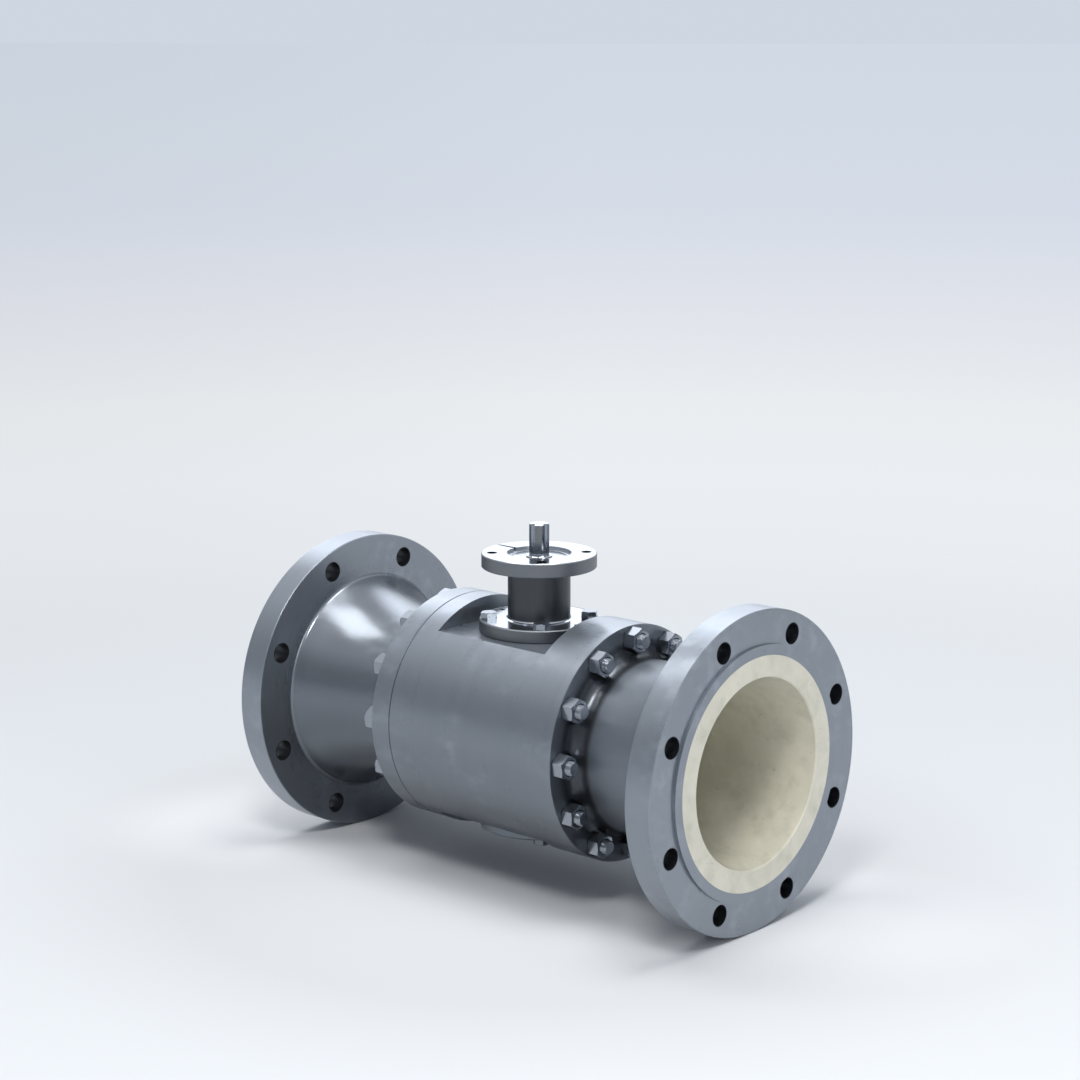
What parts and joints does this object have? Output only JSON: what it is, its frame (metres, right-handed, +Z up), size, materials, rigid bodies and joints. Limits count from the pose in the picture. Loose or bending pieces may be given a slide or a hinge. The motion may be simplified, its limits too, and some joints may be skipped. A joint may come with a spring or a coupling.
{
  "type": "control ball valve",
  "caption": "Flanged straight-through control ball valve with a ceramic-lined bore, waisted body, clamped end pieces and a keyed stem end under an actuator flange.",
  "frame": {"origin": "floor point under the stem axis, midway between the pipe faces; the pipe axis is 170 mm above it", "axes": "+X along the pipe towards the outlet face, +Z up along the stem, +Y to the left of +X"},
  "size_m": [0.6, 0.34, 0.39],
  "materials": {
    "body_steel": "satin machined and blasted stainless steel",
    "polished_steel": "bright turned stainless steel",
    "bolt_steel": "plain stainless fasteners",
    "inner_steel": "turned",
    "ceramic": "ground cream ceramic",
    "seal_black": "matt",
    "bearing_bronze": "turned"
  },
  "bodies": {
    "body": {"main_body": "body_steel", "outlet_end": "body_steel", "inlet_end": "body_steel", "outlet_liner": "ceramic", "inlet_liner": "ceramic", "body_liner": "ceramic", "outlet_seat": "ceramic", "inlet_seat": "ceramic", "outlet_carrier": "inner_steel", "inlet_carrier": "inner_steel", "seat_seals": "seal_black", "seat_springs": "inner_steel", "body_gaskets": "seal_black", "outlet_studs": "bolt_steel", "inlet_studs": "bolt_steel", "outlet_nuts": "bolt_steel", "inlet_nuts": "bolt_steel", "bonnet": "polished_steel", "bonnet_gasket": "seal_black", "bonnet_bolts": "bolt_steel", "bottom_cover": "polished_steel", "bottom_gasket": "seal_black", "bottom_bolts": "bolt_steel", "trunnion_pin": "polished_steel", "bottom_washer": "bearing_bronze", "lower_bush": "bearing_bronze", "packing_rings": "seal_black", "gland_ring": "polished_steel", "packing_springs": "inner_steel", "top_bush": "polished_steel", "thrust_washer": "bearing_bronze"},
    "rotor": {"stem": "polished_steel", "ball": "ceramic", "trunnion_bush": "bearing_bronze"}
  },
  "joints": [
    {"name": "stem_turn", "type": "hinge", "parent": "body", "child": "rotor", "pos_m": [0, 0, 0.17], "axis": [0, 0, -1], "range_deg": [0, 90]}
  ]
}
